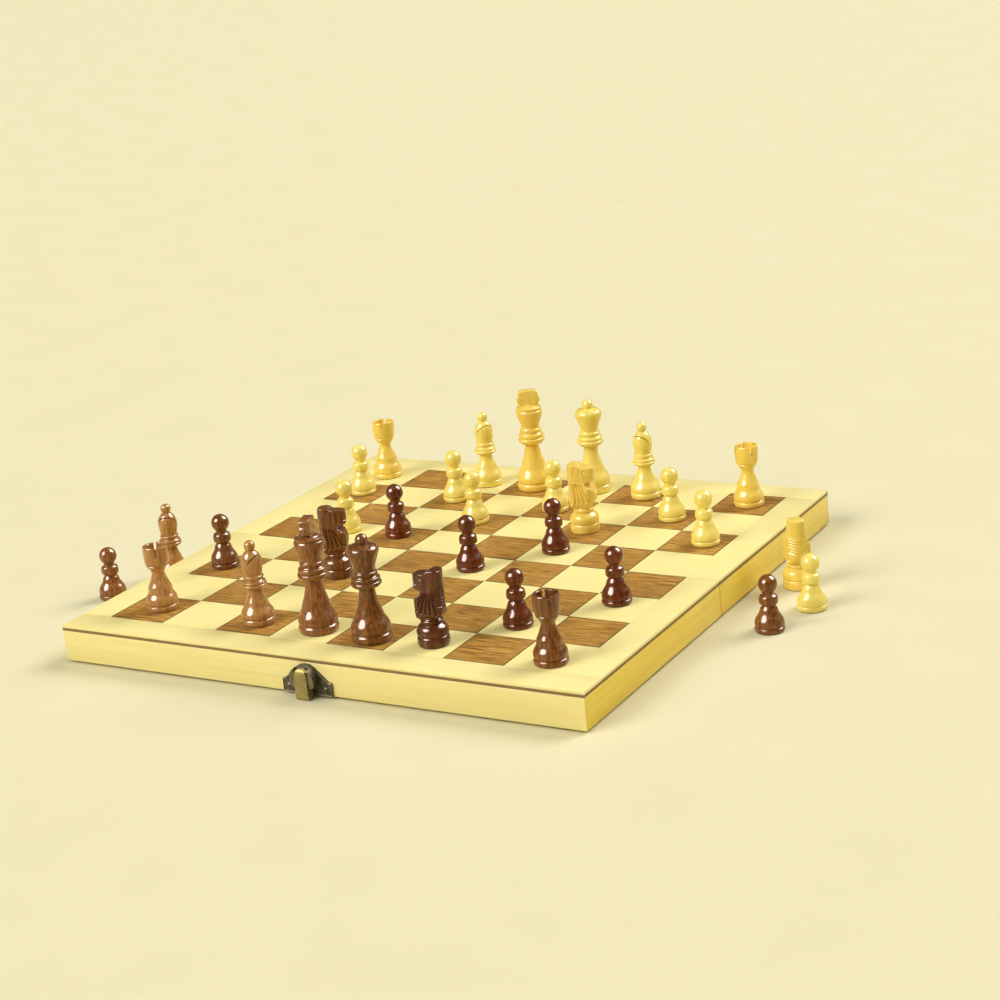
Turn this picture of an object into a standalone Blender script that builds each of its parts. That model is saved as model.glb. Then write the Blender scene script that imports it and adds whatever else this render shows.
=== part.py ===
"""Folding chess board with its 32 turned and carved pieces, set out in play.

The origin is the middle of the open board, on the table.  X runs along the
fold, Y from the latch side to the catch side, and Z is up.  All driving
dimensions are in millimetres; the models are built in metres.
"""

import math

import bmesh
import bpy
from mathutils import Matrix, Vector

MM = 0.001

# Board
BOARD = 266.7                       # outer side, 10.5 inches
SQUARE = 29.4
TOP = 18.0                          # playing surface above the table
WALL = 7.0                          # thickness of the rails and ends
VENEER = 0.6
PANEL = 1.7
FELT = 0.8
GAP = 0.3                           # between pieces that touch in the real thing

# Hinges: the axis lies just under the rims, so the halves fold rim to rim
BARREL_R = 1.0
PIN_R = 0.50
BORE_R = 0.56
FOLD_Z = BARREL_R                   # the barrels touch the table
RIM = FOLD_Z + GAP / 2
HINGE_X = 78.0
LEAF_L = 18.0
LEAF_H = 8.5
LEAF_T = 0.8
ROUND = 16                          # sides of a small round

# Latch, in the middle of the front wall, and its catch on the back wall
PLATE_W = 25.0
PLATE_T = 1.0
PLATE_TOP = 15.0
SHOULDER_Z = 7.3
PIVOT_OUT = 2.4                     # lever pivot in front of the plate
PIVOT_Z = 12.6
LEVER_W = 6.5
LEVER_R = 2.0
LEVER_BOTTOM = 0.3
SHEET = 0.8                         # sheet thickness of the lever and its ears
EAR_R = 1.6
TAB_W = 3.2                         # hook on the catch plate

# Chess pieces: height and base radius of each kind
KING_H = 52.0
SIZES = {
    "king": (KING_H, 9.0),
    "queen": (0.92 * KING_H, 9.0),
    "bishop": (0.74 * KING_H, 7.7),
    "knight": (0.65 * KING_H, 7.1),
    "rook": (0.58 * KING_H, 7.5),
    "pawn": (0.50 * KING_H, 6.8),
}
BIG_ROUND = 12
PAWN_ROUND = 10
FLARE_POWER = 1.35                  # how hollow the bell of each piece is
KNIGHT_T = 8.0                      # thickness of a knight's head

# Where each piece stands: (node, kind, file, rank), in squares from the
# corner at -X, -Y, so that .5 is the middle of a square
ON_BOARD = [
    ("dark_rook_1", "rook", 0.60, 0.55),
    ("dark_bishop_1", "bishop", 2.50, 0.45),
    ("dark_king", "king", 3.60, 0.45),
    ("dark_queen", "queen", 4.60, 0.35),
    ("dark_knight_1", "knight", 5.60, 0.45),
    ("dark_rook_2", "rook", 7.60, 0.30),
    ("dark_knight_2", "knight", 2.55, 2.60),
    ("dark_pawn_1", "pawn", 0.40, 2.50),
    ("dark_pawn_2", "pawn", 2.45, 4.60),
    ("dark_pawn_3", "pawn", 4.50, 3.45),
    ("dark_pawn_4", "pawn", 5.45, 4.55),
    ("dark_pawn_5", "pawn", 6.45, 1.45),
    ("dark_pawn_6", "pawn", 7.45, 2.70),
    ("light_rook_1", "rook", 0.45, 7.50),
    ("light_bishop_1", "bishop", 2.55, 7.50),
    ("light_king", "king", 3.50, 7.50),
    ("light_queen", "queen", 4.60, 7.60),
    ("light_bishop_2", "bishop", 5.65, 7.50),
    ("light_rook_2", "rook", 7.55, 7.50),
    ("light_knight_1", "knight", 5.45, 5.60),
    ("light_pawn_1", "pawn", 0.55, 6.50),
    ("light_pawn_2", "pawn", 1.45, 4.60),
    ("light_pawn_3", "pawn", 2.45, 6.55),
    ("light_pawn_4", "pawn", 3.40, 5.55),
    ("light_pawn_5", "pawn", 4.45, 6.45),
    ("light_pawn_6", "pawn", 6.60, 6.50),
    ("light_pawn_7", "pawn", 7.65, 5.50),
]
# Captured pieces, standing on the table: (node, kind, x, y)
ON_TABLE = [
    ("dark_pawn_7", "pawn", -168.0, -56.0),
    ("dark_bishop_2", "bishop", -156.0, -22.0),
    ("dark_pawn_8", "pawn", 160.0, -8.0),
    ("light_knight_2", "knight", 151.5, 47.0),
    ("light_pawn_8", "pawn", 168.0, 22.0),
]
# Degrees from +X: where a knight looks, a bishop's cut opens or a king's cross points
HEADINGS = {
    "dark_knight_1": 186.0,
    "dark_knight_2": 28.0,
    "light_knight_1": 14.0,
    "light_knight_2": 120.0,
    "dark_bishop_1": 0.0,
    "dark_bishop_2": -62.0,
    "light_bishop_1": -30.0,
    "light_bishop_2": -100.0,
    "dark_king": -72.0,
    "light_king": 32.0,
    "dark_rook_1": 37.0,
    "dark_rook_2": 41.0,
    "light_rook_1": 20.0,
    "light_rook_2": 50.0,
}

HALF = BOARD / 2
FELT_TOP = TOP - VENEER - PANEL - 2 * GAP   # also the top of the rails


# ---------------------------------------------------------------- materials

def material(name, colour, roughness, metallic=0.0):
    mat = bpy.data.materials.new(name)
    mat.use_nodes = True
    shader = mat.node_tree.nodes["Principled BSDF"]
    shader.inputs["Base Color"].default_value = (*colour, 1.0)
    shader.inputs["Roughness"].default_value = roughness
    shader.inputs["Metallic"].default_value = metallic
    return mat


def make_materials():
    return {
        "maple": material("maple", (0.80, 0.66, 0.33), 0.35),
        "inlay": material("inlay", (0.84, 0.76, 0.50), 0.28),
        "edge": material("edge", (0.20, 0.12, 0.04), 0.6),
        "felt": material("felt", (0.03, 0.13, 0.06), 0.95),
        "bronze": material("bronze", (0.16, 0.13, 0.08), 0.45, 0.9),
        "brass": material("brass", (0.55, 0.42, 0.18), 0.35, 1.0),
        "dark_wood": material("dark_wood", (0.11, 0.028, 0.012), 0.15),
        "light_wood": material("light_wood", (0.72, 0.56, 0.24), 0.2),
    }


# ------------------------------------------------------------ modelling kit

def new_object(name, bm, mat=None, smooth=False):
    """Turn a bmesh in millimetres into an object in metres."""
    bmesh.ops.scale(bm, vec=(MM, MM, MM), verts=bm.verts)
    bmesh.ops.recalc_face_normals(bm, faces=bm.faces)
    mesh = bpy.data.meshes.new(name)
    bm.to_mesh(mesh)
    bm.free()
    if mat:
        mesh.materials.append(mat)
    if smooth:
        mesh.shade_smooth()
        mesh.set_sharp_from_angle(angle=math.radians(35))
    obj = bpy.data.objects.new(name, mesh)
    bpy.context.collection.objects.link(obj)
    return obj


def box(name, low, high, mat=None):
    bm = bmesh.new()
    bmesh.ops.create_cube(bm, size=1.0)
    low, high = Vector(low), Vector(high)
    bmesh.ops.scale(bm, vec=high - low, verts=bm.verts)
    bmesh.ops.translate(bm, vec=(low + high) / 2, verts=bm.verts)
    return new_object(name, bm, mat)


def rod(name, radius, x_low, x_high, y, z, mat=None):
    """A round bar along X."""
    bm = bmesh.new()
    bmesh.ops.create_cone(bm, cap_ends=True, segments=ROUND, radius1=radius,
                          radius2=radius, depth=x_high - x_low)
    place = Matrix.Translation(((x_low + x_high) / 2, y, z)) @ Matrix.Rotation(math.pi / 2, 4, "Y")
    bmesh.ops.transform(bm, matrix=place, verts=bm.verts)
    return new_object(name, bm, mat, smooth=True)


def prism(name, outline, corner, depth, mat=None):
    """Extrude an outline: corner maps an outline point to 3-D, depth is the way it goes."""
    bm = bmesh.new()
    face = bm.faces.new([bm.verts.new(corner(a, b)) for a, b in outline])
    grown = bmesh.ops.extrude_face_region(bm, geom=[face])
    moved = [v for v in grown["geom"] if isinstance(v, bmesh.types.BMVert)]
    bmesh.ops.translate(bm, vec=depth, verts=moved)
    return new_object(name, bm, mat)


def turned(name, profile, sides, mat=None):
    """Turn a (radius, height) profile, which runs from the bottom up, about Z."""
    bm = bmesh.new()
    rings = []
    for radius, height in profile:
        if radius == 0.0:
            rings.append([bm.verts.new((0.0, 0.0, height))])
            continue
        turn = [2 * math.pi * k / sides for k in range(sides)]
        rings.append([bm.verts.new((radius * math.cos(a), radius * math.sin(a), height)) for a in turn])
    for lower, upper in zip(rings, rings[1:]):
        for k in range(sides):
            corners = [lower[k % len(lower)], lower[(k + 1) % len(lower)],
                       upper[(k + 1) % len(upper)], upper[k % len(upper)]]
            bm.faces.new(list(dict.fromkeys(corners)))
    return new_object(name, bm, mat, smooth=True)


def combine(obj, other, operation):
    """Add an EXACT Boolean with a helper object, which the build leaves out."""
    other.hide_render = True
    other.display_type = "WIRE"
    change = obj.modifiers.new(other.name, "BOOLEAN")
    change.operation = operation
    change.solver = "EXACT"
    change.object = other


def arc(centre_r, centre_z, radius, start, end, steps):
    """Points of an arc in a profile, at angles in degrees above the horizontal."""
    angles = [math.radians(start + (end - start) * k / steps) for k in range(steps + 1)]
    return [(centre_r + radius * math.cos(a), centre_z + radius * math.sin(a)) for a in angles]


# -------------------------------------------------------------------- board

def build_half(side, outer_rail, mats):
    """One tray of the board: side is -1 at the front, +1 at the back."""
    name = "front" if side < 0 else "back"

    def span(near, far):
        return sorted((side * near, side * far))

    def slab(node, x_range, y_range, z_range, mat):
        low, high = zip(x_range, y_range, z_range)
        return box(node, low, high, mats[mat])

    def wall(node, plan):
        """A wall from its plan, whose corners are x and the distance from the fold."""
        return prism(node, plan, lambda x, y: (x, side * y, RIM), (0, 0, FELT_TOP - RIM), mats["maple"])

    inside = HALF - WALL
    mitre = GAP * math.sqrt(2)
    wall(f"{name}_{outer_rail}", [(-HALF, HALF), (HALF, HALF), (inside, inside), (-inside, inside)])
    for end, way in (("left_end", -1), ("right_end", 1)):
        wall(f"{name}_{end}", [(way * HALF, GAP), (way * HALF, HALF - mitre),
                               (way * inside, inside - mitre), (way * inside, GAP)])
    rail_end = inside - GAP
    hinge_rail = wall(f"{name}_hinge_rail", [(-rail_end, GAP), (rail_end, GAP),
                                             (rail_end, GAP + WALL), (-rail_end, GAP + WALL)])

    panel_low = FELT_TOP + GAP
    veneer_low = panel_low + PANEL + GAP
    slab(f"{name}_panel", (-HALF, HALF), span(GAP, HALF), (panel_low, panel_low + PANEL), "edge")
    slab(f"{name}_veneer", (-HALF, HALF), span(GAP, HALF), (veneer_low, TOP), "inlay")
    slab(f"{name}_felt", (-inside + GAP, inside - GAP), span(2 * GAP + WALL, inside - GAP),
         (FELT_TOP - FELT, FELT_TOP), "felt")

    for centre in (-HINGE_X, HINGE_X):
        reach = LEAF_L / 2 + GAP
        mortise = box(f"cut_{name}_mortise_{centre:.0f}",
                      (centre - reach, span(0, GAP + LEAF_T + GAP)[0], -BARREL_R),
                      (centre + reach, span(0, GAP + LEAF_T + GAP)[1], FOLD_Z + LEAF_H + GAP))
        combine(hinge_rail, mortise, "DIFFERENCE")


# ------------------------------------------------------------------- hinges

def hinge_leaf(node, side, centre, own_knuckles, other_knuckles, mat):
    """A leaf against one hinge rail, with its knuckles about the fold axis."""
    near, far = sorted((side * GAP, side * (GAP + LEAF_T)))
    leaf = box(node, (centre - LEAF_L / 2, near, FOLD_Z), (centre + LEAF_L / 2, far, FOLD_Z + LEAF_H), mat)
    for k, (low, high) in enumerate(own_knuckles):
        combine(leaf, rod(f"cut_{node}_knuckle_{k}", BARREL_R, centre + low, centre + high, 0, FOLD_Z), "UNION")
    for k, (low, high) in enumerate(other_knuckles):
        reach = BARREL_R + GAP
        room = box(f"cut_{node}_room_{k}", (centre + low - GAP, -reach, FOLD_Z - reach),
                   (centre + high + GAP, reach, FOLD_Z + reach))
        combine(leaf, room, "DIFFERENCE")
    bore = rod(f"cut_{node}_bore", BORE_R, centre - LEAF_L, centre + LEAF_L, 0, FOLD_Z)
    combine(leaf, bore, "DIFFERENCE")


def build_hinges(mats):
    third = LEAF_L / 6
    middle = [(-third + GAP / 2, third - GAP / 2)]
    outer = [(-LEAF_L / 2, -third - GAP / 2), (third + GAP / 2, LEAF_L / 2)]
    for label, centre in (("left", -HINGE_X), ("right", HINGE_X)):
        hinge_leaf(f"hinge_{label}_front_leaf", -1, centre, outer, middle, mats["brass"])
        hinge_leaf(f"hinge_{label}_back_leaf", 1, centre, middle, outer, mats["brass"])
        rod(f"hinge_{label}_pin", PIN_R, centre - LEAF_L / 2, centre + LEAF_L / 2, 0, FOLD_Z, mats["brass"])


# -------------------------------------------------------------------- latch

def plate_outline(crown_r):
    """Half a hexagonal plate: straight sides, small notched shoulders, round crown."""
    low = RIM + GAP / 2
    half = PLATE_W / 2
    right = [(half, low), (half, SHOULDER_Z), (half - 0.9, SHOULDER_Z + 0.3), (half - 1.4, SHOULDER_Z + 0.1)]
    crown = arc(0, PLATE_TOP - crown_r, crown_r, 50, 130, 8)
    left = [(-x, z) for x, z in reversed(right)]
    return right + crown + left


def build_latch(mats):
    face = -(HALF + GAP + PLATE_T)
    plate = prism("latch_plate", plate_outline(6.8), lambda x, z: (x, face, z), (0, PLATE_T, 0), mats["bronze"])
    pivot_y = face - PIVOT_OUT
    ear_low = LEVER_W / 2 + GAP
    for label, x_low in (("left", -ear_low - SHEET), ("right", ear_low)):
        outline = [(face + PLATE_T / 2, PIVOT_Z - EAR_R)]
        outline += [(pivot_y - r, z) for r, z in arc(0, PIVOT_Z, EAR_R, -90, 90, 6)]
        outline += [(face + PLATE_T / 2, PIVOT_Z + EAR_R)]
        ear = prism(f"cut_latch_ear_{label}", outline, lambda y, z, x=x_low: (x, y, z), (SHEET, 0, 0))
        combine(plate, ear, "UNION")
    reach = ear_low + SHEET
    combine(plate, rod("cut_latch_ear_bore", BORE_R, -reach - 1, reach + 1, pivot_y, PIVOT_Z), "DIFFERENCE")
    rod("latch_pin", PIN_R, -reach, reach, pivot_y, PIVOT_Z, mats["brass"])
    build_lever(pivot_y, mats["bronze"])


def build_lever(pivot_y, mat):
    """A sheet lever hanging from the pivot: front, two flanges and a hooking lip."""
    half = LEVER_W / 2
    back = pivot_y + LEVER_R
    front = pivot_y - LEVER_R
    outline = [(back, LEVER_BOTTOM)]
    outline += [(pivot_y + r, z) for r, z in arc(0, PIVOT_Z, LEVER_R, 0, 180, 8)]
    outline += [(front, LEVER_BOTTOM)]
    lever = prism("latch_lever", outline, lambda y, z: (-half, y, z), (LEVER_W, 0, 0), mat)
    inner = half - SHEET
    lip_top = LEVER_BOTTOM + 0.6
    hollow = box("cut_lever_hollow", (-inner, front + SHEET, lip_top), (inner, back + 1, PIVOT_Z - LEVER_R))
    combine(lever, hollow, "DIFFERENCE")
    lip_back = front + 2.6
    behind_lip = box("cut_lever_lip", (-inner, lip_back, 0), (inner, back + 1, lip_top + 1))
    combine(lever, behind_lip, "DIFFERENCE")
    combine(lever, rod("cut_lever_bore", BORE_R, -half - 1, half + 1, pivot_y, PIVOT_Z), "DIFFERENCE")


def build_catch(mats):
    """The mating plate on the back wall; its hook reaches past the rim."""
    wall = HALF + GAP
    face = wall + PLATE_T
    plate = prism("catch_plate", plate_outline(3.0), lambda x, z: (x, wall, z), (0, PLATE_T, 0), mats["bronze"])
    barb_low = 0.35
    barb_high = 0.95
    tab_back = face + GAP
    tab_front = tab_back + 1.25
    outline = [(tab_back, barb_low), (tab_front + 1.3, barb_low), (tab_front + 1.3, barb_high),
               (tab_front, barb_high), (tab_front, 2.9), (face - PLATE_T / 2, 2.9),
               (face - PLATE_T / 2, 1.5), (tab_back, 1.5)]
    hook = prism("cut_catch_hook", outline, lambda y, z: (-TAB_W / 2, y, z), (TAB_W, 0, 0))
    combine(plate, hook, "UNION")


# ------------------------------------------------------------------- pieces

def bell(foot_z, bulge_z, neck_r, neck_z, steps=4):
    """Foot ring, groove and hollow bell that every piece stands on, in base radii and heights."""
    points = [(0.0, 0.0), (0.96, 0.0), (1.0, 0.35 * foot_z), (0.99, foot_z), (0.93, foot_z + 0.01)]
    bulge_r = 0.97
    for k in range(steps + 1):
        t = k / steps
        radius = neck_r + (bulge_r - neck_r) * (1 - t) ** FLARE_POWER
        points.append((radius, bulge_z + (neck_z - bulge_z) * t))
    return points


def ball(radius_to_base, base_to_height, neck_r, steps=5):
    """A ball that ends a profile at height 1, as fractions of base radius and height."""
    half_z = radius_to_base * base_to_height
    start = -math.degrees(math.acos(neck_r / radius_to_base))
    angles = [math.radians(start + (90 - start) * k / steps) for k in range(steps)]
    points = [(radius_to_base * math.cos(a), 1 - half_z + half_z * math.sin(a)) for a in angles]
    return points + [(0.0, 1.0)]


def profile_of(kind):
    height, base = SIZES[kind]
    slim = base / height
    if kind == "pawn":
        points = bell(0.12, 0.20, 0.42, 0.50, 2)
        points += [(0.64, 0.53), (0.64, 0.62)] + ball(0.64, slim, 0.42, 4)
    elif kind == "rook":
        points = bell(0.09, 0.18, 0.41, 0.58)
        points += [(0.62, 0.68), (0.74, 0.74), (0.75, 1.0), (0.0, 1.0)]
    elif kind == "bishop":
        points = bell(0.09, 0.16, 0.42, 0.42)
        points += [(0.70, 0.455), (0.72, 0.50), (0.56, 0.545), (0.60, 0.575), (0.48, 0.60),
                   (0.60, 0.70), (0.54, 0.79), (0.26, 0.88)] + ball(0.33, slim, 0.20, 4)
    elif kind == "queen":
        points = bell(0.10, 0.18, 0.38, 0.50)
        points += [(0.68, 0.53), (0.72, 0.57), (0.56, 0.61), (0.56, 0.65), (0.48, 0.67), (0.56, 0.76),
                   (0.74, 0.85), (0.73, 0.875), (0.45, 0.905), (0.18, 0.915)] + ball(0.30, slim, 0.16, 4)
    elif kind == "king":
        points = bell(0.075, 0.14, 0.37, 0.46)
        points += [(0.66, 0.49), (0.72, 0.53), (0.58, 0.575), (0.56, 0.61), (0.48, 0.63), (0.56, 0.70),
                   (0.73, 0.775), (0.73, 0.795), (0.50, 0.84), (0.28, 0.85), (0.28, 0.87), (0.0, 0.87)]
    else:
        points = [(0.0, 0.0), (0.96, 0.0), (1.0, 0.03), (1.0, 0.08), (0.93, 0.095), (0.99, 0.16),
                  (0.93, 0.24), (0.76, 0.29), (0.73, 0.33), (0.0, 0.33)]
    return [(r * base, z * height) for r, z in points]


def shape_king(obj):
    """A thick cross with short blunt arms over the crown."""
    height, base = SIZES["king"]
    right = [(0.34, 0.845), (0.66, 0.88), (0.67, 0.905), (0.56, 0.935), (0.57, 0.97), (0.44, 1.0)]
    outline = [(x * base, z * height) for x, z in right]
    outline += [(-x, z) for x, z in reversed(outline)]
    thick = 0.58 * base
    cross = prism("cut_king_cross", outline, lambda x, z: (x, -thick / 2, z), (0, thick, 0))
    combine(obj, cross, "UNION")


def shape_rook(obj):
    """A hollow tower top cut by four narrow slots."""
    height, base = SIZES["rook"]
    slot = 0.65
    for label, along, across in (("x", base, slot), ("y", slot, base)):
        cutter = box(f"cut_rook_slot_{label}", (-along, -across, 0.875 * height), (along, across, height + 1))
        combine(obj, cutter, "DIFFERENCE")
    hollow = turned("cut_rook_hollow", [(0.0, 0.85 * height), (0.52 * base, 0.85 * height),
                                        (0.56 * base, height + 1), (0.0, height + 1)], BIG_ROUND)
    combine(obj, hollow, "DIFFERENCE")


def shape_bishop(obj):
    """One slanting cut in the mitre."""
    height, base = SIZES["bishop"]
    cutter = box("cut_bishop_slit", (0.0, -base, -0.45), (base, base, 0.45))
    cutter.rotation_euler = (0, math.radians(-50), 0)
    cutter.location = (0.08 * base * MM, 0, 0.74 * height * MM)
    combine(obj, cutter, "DIFFERENCE")


def shape_knight(obj):
    """A carved head standing on the turned base, looking along +X."""
    height, base = SIZES["knight"]
    outline = [(-0.52, 0.31), (-0.90, 0.44), (-0.94, 0.60), (-0.94, 0.94), (-0.84, 1.0), (-0.15, 1.0),
               (0.02, 0.945), (0.86, 0.94), (0.92, 0.90), (0.92, 0.76), (0.84, 0.73), (0.40, 0.70),
               (0.55, 0.66), (0.93, 0.52), (0.88, 0.44), (0.52, 0.31)]
    scaled = [(x * base, z * height) for x, z in outline]
    head = prism("cut_knight_head", scaled, lambda x, z: (x, -KNIGHT_T / 2, z), (0, KNIGHT_T, 0))
    combine(obj, head, "UNION")


SHAPERS = {"king": shape_king, "rook": shape_rook, "bishop": shape_bishop, "knight": shape_knight}


def finished_meshes():
    """One finished mesh for each kind of piece, with its Booleans evaluated."""
    meshes = {}
    for kind in SIZES:
        sides = PAWN_ROUND if kind == "pawn" else BIG_ROUND
        model = turned(f"cut_{kind}_model", profile_of(kind), sides)
        model.hide_render = True
        if kind in SHAPERS:
            SHAPERS[kind](model)
        bpy.context.view_layer.update()
        evaluated = model.evaluated_get(bpy.context.evaluated_depsgraph_get())
        meshes[kind] = bpy.data.meshes.new_from_object(evaluated)
        meshes[kind].name = kind
    return meshes


def build_pieces(mats):
    colours = {}
    for kind, mesh in finished_meshes().items():
        for wood in ("dark", "light"):
            copy = mesh.copy()
            copy.materials.clear()
            copy.materials.append(mats[f"{wood}_wood"])
            colours[wood, kind] = copy
    standing = [(node, kind, (file - 4) * SQUARE, (rank - 4) * SQUARE, TOP + GAP)
                for node, kind, file, rank in ON_BOARD]
    standing += [(node, kind, x, y, 0.0) for node, kind, x, y in ON_TABLE]
    for node, kind, x, y, z in standing:
        obj = bpy.data.objects.new(node, colours[node.split("_")[0], kind])
        obj.location = (x * MM, y * MM, z * MM)
        obj.rotation_euler = (0, 0, math.radians(HEADINGS.get(node, 0.0)))
        bpy.context.collection.objects.link(obj)


def main():
    for old in list(bpy.data.objects):
        bpy.data.objects.remove(old, do_unlink=True)
    mats = make_materials()
    build_half(-1, "latch_rail", mats)
    build_half(1, "catch_rail", mats)
    build_hinges(mats)
    build_latch(mats)
    build_catch(mats)
    build_pieces(mats)


main()
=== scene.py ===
"""Looks of the folding chess set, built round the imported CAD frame.

Every visible piece is made here in millimetres, in the frame's own place, and
brought to metres when it is finished.  X runs along the fold, Y from the latch
to the catch, Z is up.
"""

import math
import random

import bmesh
import bpy
import numpy as np
from mathutils import Matrix, Vector


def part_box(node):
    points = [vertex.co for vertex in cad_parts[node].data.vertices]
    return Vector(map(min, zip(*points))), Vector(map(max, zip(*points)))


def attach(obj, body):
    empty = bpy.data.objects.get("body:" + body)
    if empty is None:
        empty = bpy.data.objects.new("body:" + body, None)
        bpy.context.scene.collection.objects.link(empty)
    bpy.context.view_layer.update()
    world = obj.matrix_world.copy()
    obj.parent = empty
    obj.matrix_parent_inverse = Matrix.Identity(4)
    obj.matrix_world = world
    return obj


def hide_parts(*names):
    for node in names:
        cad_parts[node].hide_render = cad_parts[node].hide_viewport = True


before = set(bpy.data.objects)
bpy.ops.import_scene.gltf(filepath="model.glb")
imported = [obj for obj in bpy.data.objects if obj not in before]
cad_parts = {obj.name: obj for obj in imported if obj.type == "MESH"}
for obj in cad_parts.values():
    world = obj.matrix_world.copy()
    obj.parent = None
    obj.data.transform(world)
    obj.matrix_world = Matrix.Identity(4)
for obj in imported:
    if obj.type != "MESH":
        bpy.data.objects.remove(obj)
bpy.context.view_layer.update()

MM = 0.001
WOOD, SOLE = 0, 1                   # material slots of a chess piece

# Board and hinges, repeated from the CAD source
SQUARE = 29.4
GAP = 0.3                           # between pieces that touch in the real thing
HINGE_X = 78.0
LEAF_L = 18.0

# Board and hinges, made here
PANEL_UP = 0.1                      # the panel's underside, above the CAD's
VENEER_DOWN = 0.25                  # the veneer's underside, below the CAD's
SEAM = 0.012                        # half the joint between two sheets of veneer
MORTISE_DEPTH = 1.4
MORTISE_TOP = 9.8
SCREW_X = 5.0                       # from the middle of a hinge leaf
SCREW_Z = 6.3
SCREW_R = 1.5

# Latch and catch: the pivot, lever and sheet are repeated from the CAD source
PIVOT_OUT = 2.4
PIVOT_Z = 12.6
LEVER_W = 6.5
LEVER_R = 2.0
SHEET = 0.8
PLATE_T = 1.0
PLATE_HALF_W = 12.5
PLATE_SHOULDER_Z = 7.3
PLATE_TOP_Z = 15.0
PLATE_SINK = 0.02                   # into the wall, so that no light shows behind a plate
NAIL_X = 9.4
NAIL_UP = 3.2                       # from the plate's lower edge
NAIL_R = 1.05
FIELD_DEPTH = 0.25                  # of the field pressed into a plate
CATCH_LOW_Z = 1.3

# Chess pieces: base radius of each kind
BASE = {"king": 9.0, "queen": 9.0, "bishop": 7.7, "knight": 7.1, "rook": 7.5, "pawn": 6.8}
SIDES = {"king": 72, "queen": 72, "bishop": 64, "knight": 64, "rook": 64, "pawn": 56}
SOLE_T = 0.28                       # baize under each piece
# Degrees from +X, repeated from the CAD source
HEADINGS = {
    "dark_knight_1": 186.0, "dark_knight_2": 28.0, "light_knight_1": 14.0,
    "light_knight_2": 120.0, "dark_bishop_1": 0.0, "dark_bishop_2": -62.0,
    "light_bishop_1": -30.0, "light_bishop_2": -100.0, "dark_king": -72.0, "light_king": 32.0,
    "dark_rook_1": 37.0, "dark_rook_2": 41.0, "light_rook_1": 20.0, "light_rook_2": 50.0,
}
# Tone of each piece's wood, 0 unless given.  Dark pieces: 0 to 3 from reddish black to tan,
# 4 brown black.  Light pieces: 0 pale, 1 golden.
TONES = {
    "dark_rook_1": 3, "dark_rook_2": 1, "dark_bishop_1": 3, "dark_bishop_2": 3, "dark_king": 2,
    "dark_queen": 1, "dark_knight_1": 4, "dark_knight_2": 1, "dark_pawn_1": 1, "dark_pawn_7": 2,
    "dark_pawn_8": 1, "light_king": 1, "light_knight_1": 1, "light_knight_2": 1,
    "light_rook_1": 1, "light_rook_2": 1,
}


# ---- materials

class Graph:
    """A material's node tree, with short calls to add nodes and join them."""

    def __init__(self, name):
        self.material = bpy.data.materials.new(name)
        self.material.use_nodes = True
        self.tree = self.material.node_tree
        self.shader = self.tree.nodes["Principled BSDF"]

    def add(self, kind, values=None, **settings):
        node = self.tree.nodes.new(f"ShaderNode{kind}")
        for key, value in settings.items():
            setattr(node, key, value)
        for key, value in (values or {}).items():
            self.put(node.inputs[key], value)
        return node

    def put(self, socket, value):
        """A socket takes either another node's output or a constant."""
        if isinstance(value, bpy.types.NodeSocket):
            self.tree.links.new(value, socket)
        else:
            socket.default_value = value

    def place(self, scale):
        """Object coordinates in millimetres, times a scale for each axis."""
        coords = self.add("TexCoord").outputs["Object"]
        per_metre = [s / MM for s in scale]
        values = {"Vector": coords, "Scale": per_metre}
        return self.add("Mapping", values).outputs[0]

    def noise(self, scale, detail=2.0, roughness=0.5, distortion=0.0):
        """Noise whose grains measure about 1 / scale millimetres along each axis."""
        values = {"Vector": self.place(scale), "Scale": 1.0, "Detail": detail,
                  "Roughness": roughness, "Distortion": distortion}
        return self.add("TexNoise", values).outputs["Fac"]

    def ramp(self, factor, low, high, to_low=0.0, to_high=1.0):
        """A clamped, smooth range of a factor."""
        values = {"Value": factor, "From Min": low, "From Max": high,
                  "To Min": to_low, "To Max": to_high}
        return self.add("MapRange", values, interpolation_type="SMOOTHSTEP").outputs[0]

    def math(self, operation, a, b):
        return self.add("Math", {0: a, 1: b}, operation=operation).outputs[0]

    def mix(self, factor, a, b):
        """A colour between a and b."""
        node = self.add("Mix", data_type="RGBA")
        for index, value in ((0, factor), (6, a), (7, b)):
            self.put(node.inputs[index], value)
        return node.outputs[2]

    def bump(self, height, distance_mm, strength):
        values = {"Height": height, "Distance": distance_mm * MM, "Strength": strength}
        return self.add("Bump", values).outputs[0]

    def shade(self, **values):
        """Sets the shader's sockets, named in lower case with underscores."""
        for key, value in values.items():
            name = key.replace("_", " ").title().replace("Ior", "IOR")
            self.put(self.shader.inputs[name], value)


def srgb(red, green, blue):
    """An sRGB colour, 0 to 255, as the linear colour that shaders take."""
    def linear(c):
        c /= 255
        return c / 12.92 if c <= 0.04045 else ((c + 0.055) / 1.055) ** 2.4
    return (linear(red), linear(green), linear(blue), 1.0)


AXES = {"x": 0, "y": 1, "z": 2}


def along(axis, across, length):
    """Noise scales for streaks that run along an axis: their width and length in mm."""
    scale = [1 / across] * 3
    scale[AXES[axis]] = 1 / length
    return scale


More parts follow.
